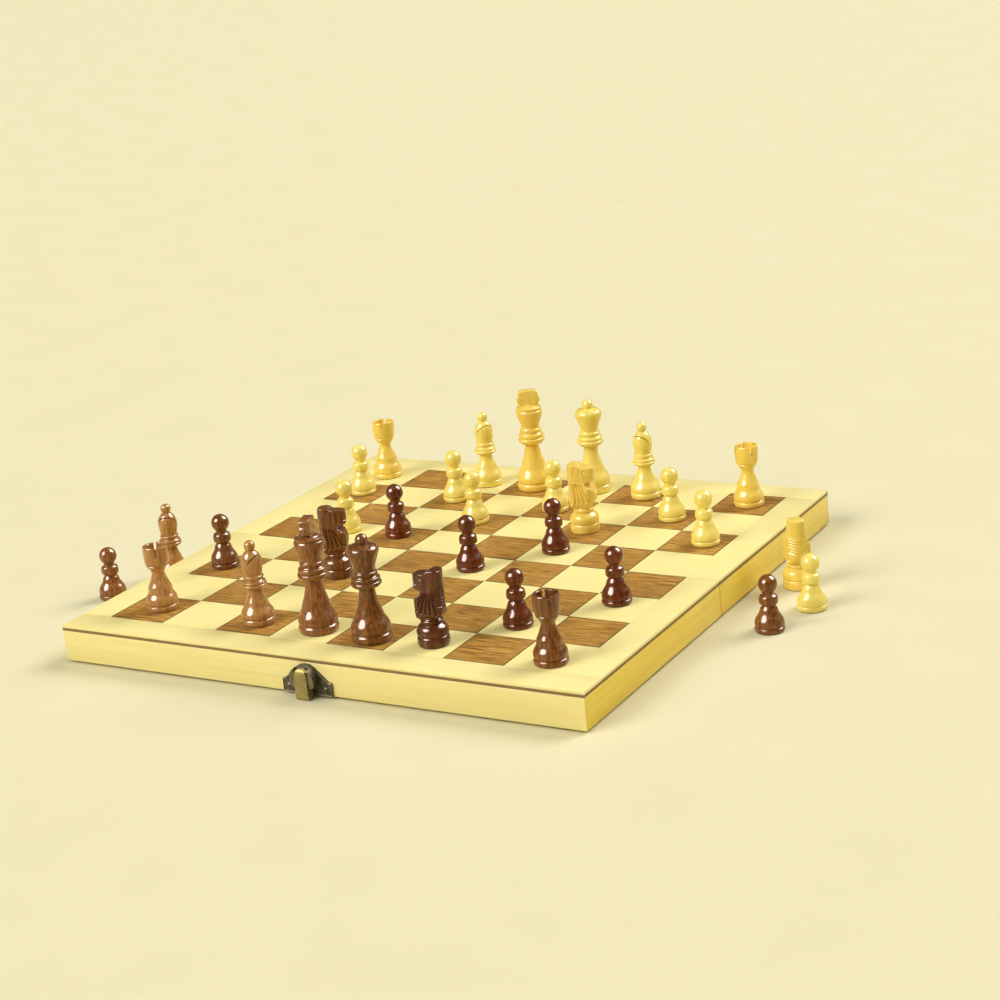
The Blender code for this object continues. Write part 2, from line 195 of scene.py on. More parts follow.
def wood(name, axis, pale, deep, pore, ring, figure, pores, rough=0.34, coat=0.4,
         coat_rough=0.12, coat_ior=1.45, square_tones=False):
    """Varnished wood with its grain along an axis: growth bands, pores, and slow tone changes.

    ring is the bands' width in mm, figure their softness and pores the pores' strength.
    """
    g = Graph(name)
    bands = g.noise(along(axis, ring, ring * 28), detail=3.0, roughness=0.55, distortion=0.35)
    fine = g.noise(along(axis, 0.22, 5.0), detail=2.0, roughness=0.6)
    slow = g.noise(along(axis, 14.0, 60.0), detail=1.0)
    factor = g.ramp(bands, 0.5 - figure * 0.35, 0.5 + figure * 0.35)
    colour = g.mix(factor, pale, deep)
    colour = g.mix(g.ramp(slow, 0.35, 0.7, 0.0, 0.35), colour, deep)
    streak = g.ramp(fine, 0.56, 0.74, 0.0, pores)
    colour = g.mix(streak, colour, pore)
    if square_tones:
        colour = g.mix(square_tone(g), colour, deep)
    uneven = g.noise((0.12, 0.12, 0.12), detail=3.0)
    g.shade(base_color=colour, roughness=g.ramp(uneven, 0.3, 0.7, rough - 0.06, rough + 0.08),
            specular_ior_level=0.15, coat_weight=coat, coat_roughness=coat_rough, coat_ior=coat_ior,
            normal=g.bump(fine, 0.03, 0.35))
    return g.material


def square_tone(g):
    """A different small share for each square of the board."""
    cell = g.place((1 / SQUARE, 1 / SQUARE, 0.0))
    away = (64.0, 64.0, 0.0)        # so that the board's middle isn't at 0
    corner = g.add("VectorMath", {0: cell, 1: away}, operation="ADD").outputs[0]
    floor = g.add("VectorMath", {0: corner}, operation="FLOOR").outputs[0]
    pick = g.add("TexWhiteNoise", {"Vector": floor}, noise_dimensions="3D").outputs["Value"]
    return g.math("MULTIPLY", pick, 0.30)


def square_edge(g, width):
    """1 on the lines between the squares of the board and 0 a little way inside them."""
    cell = g.place((1 / SQUARE, 1 / SQUARE, 1.0))
    axes = g.add("SeparateXYZ", {0: cell})
    near = [g.math("PINGPONG", axes.outputs[k], 0.5) for k in (0, 1)]
    nearest = g.math("MINIMUM", near[0], near[1])
    return g.ramp(nearest, 0.3 * width / SQUARE, width / SQUARE, 1.0, 0.0)


def walnut():
    """The inlaid dark squares: streaky grain along X, and a burnt line round each."""
    g = Graph("walnut_squares")
    bands = g.noise(along("x", 1.3, 30.0), detail=4.0, roughness=0.62, distortion=0.5)
    fine = g.noise(along("x", 0.30, 12.0), detail=3.0, roughness=0.6)
    slow = g.noise(along("x", 10.0, 40.0), detail=1.5)
    colour = g.mix(g.ramp(bands, 0.30, 0.72), srgb(232, 182, 88), srgb(170, 118, 42))
    colour = g.mix(g.ramp(slow, 0.38, 0.66, 0.0, 0.45), colour, srgb(216, 168, 80))
    colour = g.mix(g.ramp(fine, 0.44, 0.60, 0.0, 1.0), colour, srgb(104, 64, 16))
    colour = g.mix(square_tone(g), colour, srgb(158, 110, 42))
    colour = g.mix(g.math("MULTIPLY", square_edge(g, 0.9), 0.95), colour, srgb(74, 54, 8))
    g.shade(base_color=colour, roughness=g.ramp(fine, 0.4, 0.7, 0.40, 0.54),
            specular_ior_level=0.15, coat_weight=0.12, coat_roughness=0.2,
            normal=g.bump(fine, 0.04, 0.5))
    return g.material


def hardboard():
    """The panel's edge: brown fibres."""
    g = Graph("hardboard")
    fibre = g.noise((3.0, 3.0, 9.0), detail=4.0, roughness=0.7)
    colour = g.mix(g.ramp(fibre, 0.35, 0.68), srgb(112, 80, 26), srgb(158, 122, 52))
    g.shade(base_color=colour, roughness=0.62, normal=g.bump(fibre, 0.08, 0.6))
    return g.material


def felt(name, deep, pale):
    """Short matted fibres with a soft sheen."""
    g = Graph(name)
    fibre = g.noise((5.0, 5.0, 5.0), detail=5.0, roughness=0.75, distortion=1.2)
    patch = g.noise((0.12, 0.12, 0.12), detail=2.0)
    colour = g.mix(g.ramp(fibre, 0.32, 0.7), deep, pale)
    colour = g.mix(g.ramp(patch, 0.4, 0.7, 0.0, 0.3), colour, deep)
    g.shade(base_color=colour, roughness=0.95, sheen_weight=0.5, sheen_roughness=0.5,
            normal=g.bump(fibre, 0.25, 0.9))
    return g.material


def antique(name, deep, mid, worn):
    """Stamped metal under a dark finish that is rubbed back on its edges."""
    g = Graph(name)
    mottle = g.noise((0.8, 0.8, 0.8), detail=5.0, roughness=0.7)
    spots = g.noise((3.2, 3.2, 3.2), detail=3.0, roughness=0.7)
    edge = g.ramp(g.add("NewGeometry").outputs["Pointiness"], 0.505, 0.56, 0.0, 0.6)
    colour = g.mix(g.ramp(mottle, 0.35, 0.65), deep, mid)
    colour = g.mix(g.math("MULTIPLY", g.ramp(spots, 0.5, 0.72), 0.55), colour, worn)
    colour = g.mix(edge, colour, worn)
    g.shade(base_color=colour, metallic=0.5, roughness=g.ramp(mottle, 0.3, 0.7, 0.44, 0.64),
            normal=g.bump(mottle, 0.12, 0.6))
    return g.material


def brass(name, pale, deep):
    """Rolled brass, scratched along X and a little stained."""
    g = Graph(name)
    scratch = g.noise((0.15, 4.0, 4.0), detail=3.0)
    stain = g.noise((0.12, 0.12, 0.12), detail=2.0)
    colour = g.mix(g.ramp(stain, 0.35, 0.7), pale, deep)
    g.shade(base_color=colour, metallic=1.0, roughness=g.ramp(scratch, 0.3, 0.7, 0.2, 0.42),
            normal=g.bump(scratch, 0.03, 0.4))
    return g.material


def dark_stain(index, pale, deep, pore):
    """Stained and lacquered wood of a dark piece, grain upright."""
    return wood(f"stained_wood_{index}", "z", pale, deep, pore, ring=1.1, figure=0.55, pores=0.55,
                rough=0.34, coat=1.0, coat_rough=0.06, coat_ior=1.36)


def boxwood(index, pale, deep, pore):
    """Varnished pale wood of a light piece, grain upright."""
    return wood(f"boxwood_{index}", "z", pale, deep, pore, ring=1.2, figure=0.7, pores=0.25,
                rough=0.36, coat=0.5, coat_rough=0.16)


def make_materials():
    return {
        "maple_x": wood("maple_x", "x", srgb(246, 234, 164), srgb(241, 223, 142),
                        srgb(230, 204, 114), ring=2.2, figure=0.8, pores=0.28),
        "maple_y": wood("maple_y", "y", srgb(248, 222, 98), srgb(240, 206, 72),
                        srgb(224, 182, 54), ring=2.2, figure=0.8, pores=0.28),
        "pale": wood("pale_veneer", "x", srgb(248, 237, 167), srgb(244, 229, 151),
                     srgb(235, 211, 123), ring=1.8, figure=0.9, pores=0.22, rough=0.42,
                     coat=0.12, coat_rough=0.2, square_tones=True),
        "walnut": walnut(),
        "hardboard": hardboard(),
        "felt": felt("green_felt", srgb(14, 58, 34), srgb(40, 104, 62)),
        "baize": felt("piece_baize", srgb(22, 60, 38), srgb(48, 96, 62)),
        "bronze": antique("antique_bronze", srgb(38, 36, 25), srgb(90, 85, 62), srgb(124, 118, 90)),
        "lever": antique("worn_bronze", srgb(80, 68, 32), srgb(132, 116, 60), srgb(164, 148, 88)),
        "brass": brass("brass", srgb(206, 172, 100), srgb(178, 142, 76)),
        "screw": brass("screw_brass", srgb(150, 112, 56), srgb(112, 80, 38)),
        "light_wood": [
            boxwood(0, srgb(250, 232, 128), srgb(246, 222, 104), srgb(230, 194, 82)),
            boxwood(1, srgb(250, 222, 110), srgb(243, 206, 84), srgb(228, 186, 76)),
        ],
        "dark_wood": [
            dark_stain(0, srgb(134, 63, 13), srgb(80, 31, 2), srgb(38, 10, 0)),
            dark_stain(1, srgb(150, 94, 36), srgb(93, 52, 13), srgb(48, 22, 3)),
            dark_stain(2, srgb(166, 108, 52), srgb(114, 67, 28), srgb(68, 35, 12)),
            dark_stain(3, srgb(204, 152, 84), srgb(162, 110, 56), srgb(108, 66, 30)),
            dark_stain(4, srgb(112, 58, 14), srgb(62, 28, 4), srgb(28, 10, 0)),
        ],
    }


# ---- making solids

def new_solid(name, bm):
    """A working object whose mesh is in millimetres."""
    bmesh.ops.recalc_face_normals(bm, faces=bm.faces)
    mesh = bpy.data.meshes.new(name)
    bm.to_mesh(mesh)
    bm.free()
    obj = bpy.data.objects.new(name, mesh)
    bpy.context.scene.collection.objects.link(obj)
    return obj


def apply_modifiers(obj):
    bpy.context.view_layer.update()
    evaluated = obj.evaluated_get(bpy.context.evaluated_depsgraph_get())
    done = bpy.data.meshes.new_from_object(evaluated)
    obj.modifiers.clear()
    obj.data = done


def carve(obj, tool, operation="DIFFERENCE"):
    """Applies one exact Boolean and deletes its tool."""
    change = obj.modifiers.new("carve", "BOOLEAN")
    change.operation = operation
    change.solver = "EXACT"
    change.object = tool
    apply_modifiers(obj)
    bpy.data.objects.remove(tool, do_unlink=True)
    return obj


def round_edges(obj, width, segments=2, angle=30.0):
    change = obj.modifiers.new("round", "BEVEL")
    change.width = width
    change.segments = segments
    change.limit_method = "ANGLE"
    change.angle_limit = math.radians(angle)
    apply_modifiers(obj)
    return obj


def finish_piece(obj, mats, body, nodes=(), sharp=32.0):
    """Brings a working object to metres and makes it a piece of the frame."""
    mesh = obj.data
    mesh.transform(Matrix.Scale(MM, 4))
    slots = [min(face.material_index, len(mats) - 1) for face in mesh.polygons]
    mesh.materials.clear()          # this resets each face's material index
    for mat in mats:
        mesh.materials.append(mat)
    mesh.polygons.foreach_set("material_index", slots)
    mesh.shade_smooth()
    mesh.set_sharp_from_angle(angle=math.radians(sharp))
    if nodes:
        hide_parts(*nodes)
    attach(obj, body)
    return obj


def add_block(bm, low, high, bevel=0.0, segments=2):
    """A box, its edges rounded if a bevel is given, added to a bmesh."""
    made = bmesh.ops.create_cube(bm, size=1.0)["verts"]
    low, high = Vector(low), Vector(high)
    bmesh.ops.scale(bm, vec=high - low, verts=made)
    bmesh.ops.translate(bm, vec=(low + high) / 2, verts=made)
    if bevel:
        edges = list(dict.fromkeys(edge for vert in made for edge in vert.link_edges))
        bmesh.ops.bevel(bm, geom=edges, offset=bevel, segments=segments, profile=0.5,
                        affect="EDGES")


def block(name, low, high, bevel=0.0, segments=2):
    bm = bmesh.new()
    add_block(bm, low, high, bevel, segments)
    return new_solid(name, bm)


def extruded(outline, corner, depth):
    """A bmesh of an outline: corner maps its points to 3-D, depth is the way it goes."""
    bm = bmesh.new()
    face = bm.faces.new([bm.verts.new(corner(a, b)) for a, b in outline])
    grown = bmesh.ops.extrude_face_region(bm, geom=[face])
    moved = [v for v in grown["geom"] if isinstance(v, bmesh.types.BMVert)]
    bmesh.ops.translate(bm, vec=depth, verts=moved)
    return bm


def prism(name, outline, corner, depth):
    return new_solid(name, extruded(outline, corner, depth))


def lathe(bm, profile, sides, place=Matrix.Identity(4)):
    """Turns a (radius, height) profile, from the bottom up, about Z, then places it."""
    rings = []
    for radius, height in profile:
        count = 1 if radius == 0.0 else sides
        turn = [2 * math.pi * k / sides for k in range(count)]
        points = [Vector((radius * math.cos(a), radius * math.sin(a), height)) for a in turn]
        rings.append([bm.verts.new(place @ p) for p in points])
    for lower, upper in zip(rings, rings[1:]):
        for k in range(sides):
            corners = [lower[k % len(lower)], lower[(k + 1) % len(lower)],
                       upper[(k + 1) % len(upper)], upper[k % len(upper)]]
            bm.faces.new(list(dict.fromkeys(corners)))


def turned(name, profile, sides):
    bm = bmesh.new()
    lathe(bm, profile, sides)
    return new_solid(name, bm)


def curve_through(points, steps=5):
    """A smooth stroke through its points, from the first to the last."""
    padded = [points[0]] + list(points) + [points[-1]]
    curve = []
    for p0, p1, p2, p3 in zip(padded, padded[1:], padded[2:], padded[3:]):
        for k in range(steps):
            t = k / steps
            curve.append(tuple(
                0.5 * (2 * b + (c - a) * t + (2 * a - 5 * b + 4 * c - d) * t * t
                       + (3 * b - a - 3 * c + d) * t ** 3)
                for a, b, c, d in zip(p0, p1, p2, p3)))
    return curve + [tuple(points[-1])]


def arc(centre_a, centre_b, radius, start, end, steps):
    """Points of an arc in a plane, at angles in degrees."""
    angles = [math.radians(start + (end - start) * k / steps) for k in range(steps + 1)]
    return [(centre_a + radius * math.cos(a), centre_b + radius * math.sin(a)) for a in angles]


# ---- chess pieces

def bead(inner_low, z_low, outer, inner_high, z_high, steps=8):
    """A half-round ring: where it starts, how far it stands out, where it ends."""
    points = []
    for k in range(steps + 1):
        t = k / steps
        inner = inner_low + (inner_high - inner_low) * t
        points.append((inner + (outer - inner) * math.sin(math.pi * t),
                       z_low + (z_high - z_low) * (1 - math.cos(math.pi * t)) / 2))
    return points


def foot(top):
    """Foot ring and the saw-thin groove over it."""
    return [curve_through([(0.95, 0.0), (0.983, top * 0.20), (1.0, top * 0.52), (0.985, top * 0.84),
                           (0.95, top)], 4),
            [(0.95, top), (0.912, top + 0.007), (0.93, top + 0.014)]]


def ball(radius, base_to_height, neck):
    """A ball that ends a profile at height 1."""
    half_z = radius * base_to_height
    start = -math.degrees(math.acos(neck / radius))
    points = [(radius * math.cos(math.radians(a)), 1 - half_z + half_z * math.sin(math.radians(a)))
              for a in np.linspace(start, 90, 15)[:-1]]
    return points + [(0.0, 1.0)]


def strokes_of(kind, slim):
    """The profile of a kind as strokes that meet at creases, in base radii and heights.

    slim is the base radius over the height.
    """
    if kind == "pawn":
        return foot(0.08) + [
            curve_through([
                (0.93, 0.094), (0.972, 0.106), (0.982, 0.13), (0.962, 0.17), (0.912, 0.212),
                (0.835, 0.25), (0.745, 0.286), (0.67, 0.322), (0.625, 0.355), (0.59, 0.386),
                (0.545, 0.412), (0.485, 0.436), (0.445, 0.455), (0.432, 0.473)]),
            [(0.432, 0.473), (0.52, 0.478)],
            curve_through([
                (0.52, 0.478), (0.59, 0.49), (0.622, 0.517), (0.628, 0.555), (0.61, 0.595),
                (0.555, 0.628), (0.46, 0.648)]),
            [(0.46, 0.648), (0.40, 0.657), (0.385, 0.672), (0.40, 0.692)],
            ball(0.63, slim, 0.42),
        ]
    if kind == "rook":
        return foot(0.078) + [
            curve_through([
                (0.93, 0.092), (0.972, 0.104), (0.985, 0.13), (0.968, 0.165), (0.93, 0.196),
                (0.862, 0.226), (0.792, 0.253), (0.752, 0.28), (0.738, 0.308), (0.73, 0.335),
                (0.703, 0.362), (0.648, 0.392), (0.582, 0.427), (0.52, 0.47), (0.46, 0.51),
                (0.415, 0.545), (0.39, 0.575)]),
            curve_through([
                (0.39, 0.575), (0.425, 0.60), (0.51, 0.638), (0.615, 0.672), (0.675, 0.698)]),
            [(0.675, 0.698), (0.655, 0.706), (0.675, 0.716)],
            curve_through([
                (0.675, 0.716), (0.728, 0.74), (0.752, 0.79), (0.765, 0.87), (0.762, 0.95)]),
            curve_through([(0.762, 0.95), (0.756, 0.985), (0.725, 1.0)], 3),
            [(0.725, 1.0), (0.585, 1.0)],
            curve_through([
                (0.585, 1.0), (0.56, 0.992), (0.552, 0.97), (0.53, 0.87), (0.45, 0.845)], 4),
            [(0.45, 0.845), (0.0, 0.835)],
        ]
    if kind == "bishop":
        return foot(0.07) + [
            curve_through([
                (0.93, 0.084), (0.972, 0.096), (0.982, 0.115), (0.958, 0.142), (0.897, 0.166),
                (0.82, 0.19), (0.75, 0.212), (0.70, 0.234), (0.665, 0.254), (0.62, 0.277),
                (0.56, 0.304), (0.495, 0.335), (0.44, 0.37), (0.405, 0.402), (0.392, 0.428)]),
            [(0.392, 0.428), (0.55, 0.433)],
            curve_through([(0.55, 0.433), (0.63, 0.438), (0.675, 0.448)], 3),
            bead(0.675, 0.448, 0.745, 0.655, 0.486),
            bead(0.655, 0.486, 0.69, 0.585, 0.522),
            curve_through([(0.585, 0.522), (0.535, 0.531), (0.54, 0.546)], 3),
            bead(0.54, 0.546, 0.60, 0.535, 0.584),
            curve_through([
                (0.535, 0.584), (0.53, 0.598), (0.565, 0.64), (0.605, 0.69), (0.612, 0.74),
                (0.57, 0.795), (0.45, 0.842), (0.305, 0.872), (0.205, 0.8835)]),
            ball(0.33, slim, 0.205),
        ]
    if kind == "queen":
        return foot(0.068) + [
            curve_through([
                (0.93, 0.082), (0.972, 0.093), (0.982, 0.113), (0.966, 0.138), (0.92, 0.162),
                (0.85, 0.186), (0.775, 0.209), (0.715, 0.232), (0.672, 0.256), (0.62, 0.283),
                (0.555, 0.316), (0.492, 0.356), (0.44, 0.402), (0.402, 0.452), (0.382, 0.498)]),
            [(0.382, 0.498), (0.56, 0.503)],
            curve_through([(0.56, 0.503), (0.635, 0.509), (0.68, 0.521)], 3),
            bead(0.68, 0.521, 0.752, 0.665, 0.562),
            bead(0.665, 0.562, 0.70, 0.585, 0.603),
            [(0.585, 0.603), (0.54, 0.613)],
            bead(0.54, 0.613, 0.595, 0.53, 0.653),
            curve_through([
                (0.53, 0.653), (0.505, 0.668), (0.525, 0.70), (0.59, 0.742), (0.665, 0.782),
                (0.73, 0.814), (0.772, 0.838), (0.768, 0.857), (0.715, 0.876), (0.60, 0.893),
                (0.42, 0.905), (0.20, 0.909)]),
            ball(0.315, slim, 0.19),
        ]
    if kind == "king":
        return foot(0.06) + [
            curve_through([
                (0.93, 0.073), (0.972, 0.083), (0.982, 0.101), (0.966, 0.122), (0.922, 0.144),
                (0.857, 0.166), (0.79, 0.188), (0.735, 0.21), (0.692, 0.235), (0.635, 0.267),
                (0.568, 0.304), (0.50, 0.347), (0.44, 0.39), (0.397, 0.425), (0.378, 0.455)]),
            [(0.378, 0.455), (0.56, 0.46)],
            curve_through([(0.56, 0.46), (0.635, 0.466), (0.68, 0.478)], 3),
            bead(0.68, 0.478, 0.757, 0.665, 0.52),
            bead(0.665, 0.52, 0.70, 0.59, 0.566),
            [(0.59, 0.566), (0.545, 0.576)],
            bead(0.545, 0.576, 0.60, 0.53, 0.618),
            curve_through([
                (0.53, 0.618), (0.51, 0.632), (0.56, 0.664), (0.64, 0.70), (0.71, 0.735),
                (0.755, 0.768), (0.752, 0.788), (0.70, 0.802)]),
            bead(0.675, 0.802, 0.712, 0.56, 0.835, 6),
            curve_through([(0.56, 0.835), (0.46, 0.847), (0.30, 0.855)]),
            [(0.30, 0.855), (0.24, 0.875), (0.0, 0.878)],
        ]
    return foot(0.12) + [
        curve_through([
            (0.93, 0.134), (0.972, 0.148), (0.988, 0.175), (0.972, 0.207), (0.92, 0.236),
            (0.84, 0.258), (0.73, 0.275), (0.64, 0.288)]),
        bead(0.62, 0.29, 0.70, 0.60, 0.346),
        curve_through([(0.60, 0.346), (0.56, 0.355), (0.54, 0.37)], 3),
        [(0.54, 0.37), (0.0, 0.375)],
    ]


def profile_of(kind, height):
    """Sole, foot and body of a kind in millimetres, without doubled points."""
    base = BASE[kind]
    points = [(0.0, -SOLE_T), (0.93 * base, -SOLE_T), (0.935 * base, 0.0)]
    for stroke in strokes_of(kind, base / height):
        points += [(r * base, z * height) for r, z in stroke]
    kept = points[:1]
    for point in points[1:]:
        if math.dist(point, kept[-1]) > 0.02:
            kept.append(point)
    return kept


def carve_rook(obj, height):
    """Four narrow saw cuts in the tower wall."""
    base = BASE["rook"]
    half_saw, floor = 0.62, 0.872 * height
    for x, y in ((base, half_saw), (half_saw, base)):
        carve(obj, block("saw_cut", (-x, -y, floor), (x, y, height + 1)))


def carve_bishop(obj, height):
    """One slanting saw cut in the mitre."""
    base = BASE["bishop"]
    half_saw, slant = 0.28, math.radians(-50)
    tool = block("slit", (0.0, -base, -half_saw), (base, base, half_saw))
    tool.rotation_euler = (0, slant, 0)
    tool.location = (0.08 * base, 0, 0.74 * height)
    carve(obj, tool)


def carve_queen(obj, height):
    """Eight filed notches round the coronet's rim."""
    base = BASE["queen"]
    count, half_file = 8, 0.55
    on_edge = Matrix.Rotation(math.radians(45), 4, "X")
    tilt = Matrix.Rotation(math.radians(-28), 4, "Y") @ on_edge
    rim = Matrix.Translation((0.60 * base, 0, 0.887 * height))
    for k in range(count):
        tool = block("notch", (0.0, -half_file, -half_file), (0.4 * base, half_file, half_file))
        turn = Matrix.Rotation(2 * math.pi * (k + 0.5) / count, 4, "Z")
        tool.data.transform(turn @ rim @ tilt)
        carve(obj, tool)


def carve_king(obj, height):
    """A thick, soft-cornered cross over the crown."""
    base = BASE["king"]
    right = [(0.34, 0.845), (0.50, 0.858), (0.635, 0.878), (0.665, 0.90), (0.62, 0.924),
             (0.54, 0.938), (0.565, 0.958), (0.52, 0.984), (0.36, 1.0)]
    outline = [(x * base, z * height) for x, z in right]
    outline += [(-x, z) for x, z in reversed(outline)]
    thick = 0.5 * base
    cross = prism("cross", outline, lambda x, z: (x, -thick / 2, z), (0, thick, 0))
    round_edges(cross, 0.95, 5)
    carve(obj, cross, "UNION")


def groove(distance, width):
    """Depth share of a cut at a distance from its line."""
    return np.exp(-(distance / width) ** 2)


def fade(value, low, high):
    """0 below low, 1 above high, smooth between."""
    t = np.clip((value - low) / (high - low), 0, 1)
    return t * t * (3 - 2 * t)


def to_segment(x, z, start, end):
    """Distance of points from a line segment in the plane."""
    start, end = np.array(start), np.array(end)
    way = end - start
    t = np.clip(((x - start[0]) * way[0] + (z - start[1]) * way[1]) / (way @ way), 0, 1)
    return np.hypot(x - start[0] - t * way[0], z - start[1] - t * way[1])


def along_line(x, z, points):
    """Distance of points from a line through several points."""
    return np.min([to_segment(x, z, a, b) for a, b in zip(points, points[1:])], axis=0)


# Outlines of a knight's head in base radii and heights: strokes of its side view, and half its
# front view
HEAD_SIDE = [
    [(-0.50, 0.345), (-0.66, 0.375), (-0.84, 0.415), (-0.93, 0.47), (-0.95, 0.60), (-0.95, 0.88),
     (-0.935, 0.96), (-0.89, 0.988)],
    [(-0.89, 0.988), (-0.66, 1.0), (-0.36, 0.999), (-0.14, 0.99)],
    [(-0.14, 0.99), (-0.02, 0.968), (0.12, 0.952), (0.40, 0.952), (0.64, 0.95), (0.82, 0.946)],
    [(0.82, 0.946), (0.90, 0.93), (0.915, 0.88), (0.91, 0.81), (0.89, 0.77), (0.83, 0.752)],
    [(0.83, 0.752), (0.60, 0.75), (0.34, 0.738)],
    [(0.34, 0.738), (0.32, 0.712), (0.52, 0.68), (0.76, 0.635), (0.91, 0.58), (0.93, 0.51),
     (0.84, 0.44), (0.66, 0.38), (0.50, 0.345)],
]
HEAD_FRONT = [(0.50, 0.345), (0.64, 0.38), (0.80, 0.44), (0.85, 0.52), (0.81, 0.61), (0.70, 0.69),
              (0.63, 0.77), (0.60, 0.86), (0.56, 0.95), (0.50, 1.0)]


def knight_head(height):
    """The carved head: a turned blank sawn to its side and front outlines, softened and cut."""
    base = BASE["knight"]
    half_x, blank_r = 1.2 * base, 0.965 * base
    side = [p for stroke in HEAD_SIDE for p in curve_through(stroke, 4)[:-1]]
    side.append(HEAD_SIDE[-1][-1])
    side = [(x * base, z * height) for x, z in side]
    front = [(y * base, z * height) for y, z in curve_through(HEAD_FRONT, 4)]
    front += [(-y, z) for y, z in reversed(front)]
    head = prism("head", side, lambda x, z: (x, -base, z), (0, 2 * base, 0))
    from_front = prism("front", front, lambda y, z: (-half_x, y, z), (2 * half_x, 0, 0))
    carve(head, from_front, "INTERSECT")
    low, high = 0.2 * height, 1.1 * height
    blank = turned("blank", [(0.0, low), (blank_r, low), (blank_r, high), (0.0, high)], 96)
    carve(head, blank, "INTERSECT")
    remesh = head.modifiers.new("remesh", "REMESH")
    remesh.mode = "VOXEL"
    remesh.voxel_size = 0.24
    soften = head.modifiers.new("soften", "SMOOTH")
    soften.factor = 0.5
    soften.iterations = 7
    apply_modifiers(head)
    cut_head(head.data, base, height)
    return head


def cut_head(mesh, base, height):
    """Sinks the knife cuts into the head, then narrows its muzzle and nape."""
    count = len(mesh.vertices)
    place = np.empty(count * 3)
    normal = np.empty(count * 3)
    mesh.vertices.foreach_get("co", place)
    mesh.vertices.foreach_get("normal", normal)
    place, normal = place.reshape(-1, 3), normal.reshape(-1, 3)
    xm, ym, zm = place.T.copy()
    x, z = xm / base, zm / height            # as in the outlines; xm, ym and zm are in mm
    on_side = fade(np.abs(normal[:, 1]), 0.2, 0.6)
    depth = np.zeros(count)

    def line(points, width, deep, where=on_side):
        """A cut of a width and depth in mm along a line of outline points."""
        nonlocal depth
        scaled = [(a * base, b * height) for a, b in points]
        depth = np.maximum(depth, deep * groove(along_line(xm, zm, scaled), width) * where)

    flutes = 5
    for k in range(flutes):                  # they fan down the neck
        t = k / (flutes - 1)
        top = (-0.58 + 0.66 * t, 0.715 - 0.01 * t)
        bottom = (-0.70 + 1.36 * t, 0.43 + 0.04 * t)
        middle = ((top[0] + bottom[0]) / 2 + 0.08 - 0.05 * t, 0.57)
        line([top, middle, bottom], 0.36, 0.80)
    mane_edge = [(-0.30, 0.95), (-0.42, 0.90), (-0.50, 0.82), (-0.56, 0.72)]
    line(mane_edge, 0.26, 0.26)
    cheek = [(0.02, 0.945), (0.06, 0.90), (-0.01, 0.83), (0.10, 0.765), (0.32, 0.742)]
    line(cheek, 0.30, 0.36)
    mouth = [(0.95, 0.815), (0.76, 0.818), (0.58, 0.805)]
    line(mouth, 0.20, 0.50, fade(x, 0.45, 0.6))
    eye, nostril = ((0.26, 0.895), 0.48, 0.55), ((0.78, 0.885), 0.30, 0.40)
    for centre, radius, deep in (eye, nostril):
        spot = np.hypot(xm - centre[0] * base, zm - centre[1] * height)
        depth = np.maximum(depth, deep * groove(spot, radius) * on_side)
    brow = np.hypot(xm - 0.26 * base, zm - 0.93 * height)
    depth -= 0.14 * groove(brow, 0.9) * on_side    # it stands out

    # notches across the back of the mane, a pitch of 1.4 mm apart
    wave = np.abs(((zm - 0.5 * np.abs(xm + 0.94 * base)) / 1.4) % 1.0 - 0.5) * 2
    mane = fade(-x, 0.58, 0.72) * fade(z, 0.48, 0.53) * (1 - fade(z, 0.76, 0.82))
    depth = np.maximum(depth, 0.42 * (1 - wave) ** 1.4 * mane)
    between_ears = groove(ym, 0.45) * fade(z, 0.965, 0.99) * fade(x, -0.60, -0.4)
    depth = np.maximum(depth, 0.45 * between_ears * (1 - fade(x, -0.15, 0.0)))
    place -= normal * depth[:, None]
    muzzle = fade(x, 0.0, 0.95) * fade(z, 0.70, 0.77)
    nape = fade(-x, 0.50, 1.0) * fade(z, 0.46, 0.56)
    place[:, 1] *= 1 - 0.36 * muzzle - 0.34 * nape
    mesh.vertices.foreach_set("co", place.ravel())
    mesh.update()


def carve_knight(obj, height):
    carve(obj, knight_head(height), "UNION")


# A pawn is only turned
CARVERS = {"rook": carve_rook, "bishop": carve_bishop, "queen": carve_queen, "king": carve_king,
           "knight": carve_knight}


def model_of(kind, height):
    """The finished mesh of a kind, standing at the origin and looking along +X."""
    obj = turned(f"model_{kind}", profile_of(kind, height), SIDES[kind])
    for mat_index in (WOOD, SOLE):
        obj.data.materials.append(bpy.data.materials.new(f"slot_{mat_index}"))
    for face in obj.data.polygons:
        face.material_index = SOLE if face.center.z < -1e-4 else WOOD
    if kind in CARVERS:
        CARVERS[kind](obj, height)
    mesh = obj.data
    bpy.data.objects.remove(obj)
    return mesh


def make_chess_pieces(mats):
    """Places and heights come from the CAD nodes.  Pieces of a kind and height share a model.

    The sole fills the CAD's gap under a piece.  On the table there is no gap, so the wood of a
    piece there is shorter by the sole.
    """
    models = {}
    for node in sorted(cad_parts):
        colour, kind = (node.split("_") + [""])[:2]
        if colour not in ("dark", "light") or kind not in BASE:
            continue
        low, high = [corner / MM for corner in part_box(node)]
        bottom = max(low.z - SOLE_T, 0.0) + SOLE_T
        height = round(high.z - bottom, 3)
        if (kind, height) not in models:
            models[kind, height] = model_of(kind, height)
        mesh = models[kind, height].copy()
        middle = (low + high) / 2
        mesh.transform(Matrix.Translation((middle.x, middle.y, bottom))
                       @ Matrix.Rotation(math.radians(HEADINGS.get(node, 0.0)), 4, "Z"))
        obj = bpy.data.objects.new(f"{node}_turned", mesh)
        bpy.context.scene.collection.objects.link(obj)
        timber = mats[f"{colour}_wood"][TONES.get(node, 0)]
        finish_piece(obj, [timber, mats["baize"]], f"{node}_body", [node])


# ---- board

def corners(node):
    low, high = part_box(node)
    return low / MM, high / MM


